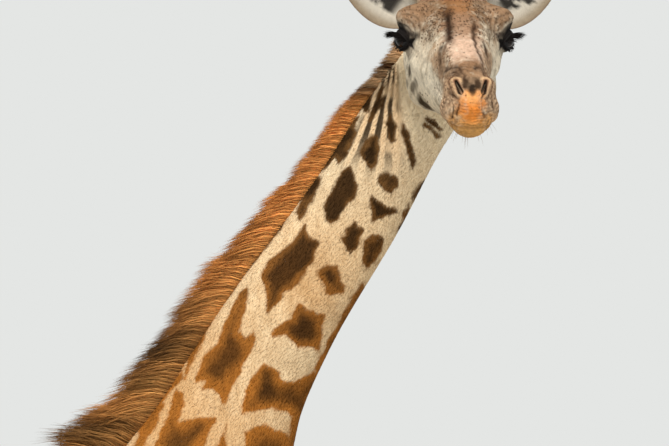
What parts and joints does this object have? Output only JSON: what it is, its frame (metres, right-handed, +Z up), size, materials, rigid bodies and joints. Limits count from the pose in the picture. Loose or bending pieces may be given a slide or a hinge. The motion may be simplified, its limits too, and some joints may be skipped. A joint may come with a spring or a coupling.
{
  "type": "giraffe",
  "caption": "Masai giraffe cow at life size, standing with her neck raised forward and her head turned to look out over her right shoulder.",
  "frame": {"origin": "on the ground, under the middle of the whole outline, head included", "axes": "+Z up; the body faces -Y, with its left side at +X; the head looks out towards -X"},
  "size_m": [0.945, 2.7534, 4.1704],
  "materials": {
    "hide": "short flat fur, pale tan with jagged dark brown spots",
    "mane_hair": "stiff rust-orange hair with dark brown tips",
    "tail_hair": "long coarse black hair",
    "ossicone": "horn of bone under short brown fur with a black tuft at its tip",
    "hoof": "dark grey-brown horn, dull",
    "eye": "wet, near black"
  },
  "bodies": {
    "root": {"head": "hide", "neck_upper": "hide", "neck_lower": "hide", "trunk": "hide", "mane": "mane_hair", "tail": "hide", "tail_tuft": "tail_hair", "ear_left": "hide", "ear_right": "hide", "eye_left": "eye", "eye_right": "eye", "ossicone_left": "ossicone", "ossicone_right": "ossicone", "foreleg_upper_left": "hide", "foreleg_upper_right": "hide", "foreleg_lower_left": "hide", "foreleg_lower_right": "hide", "hindleg_upper_left": "hide", "hindleg_upper_right": "hide", "hindleg_lower_left": "hide", "hindleg_lower_right": "hide", "hoof_fore_left_outer": "hoof", "hoof_fore_left_inner": "hoof", "hoof_fore_right_outer": "hoof", "hoof_fore_right_inner": "hoof", "hoof_hind_left_outer": "hoof", "hoof_hind_left_inner": "hoof", "hoof_hind_right_outer": "hoof", "hoof_hind_right_inner": "hoof"}
  },
  "joints": []
}
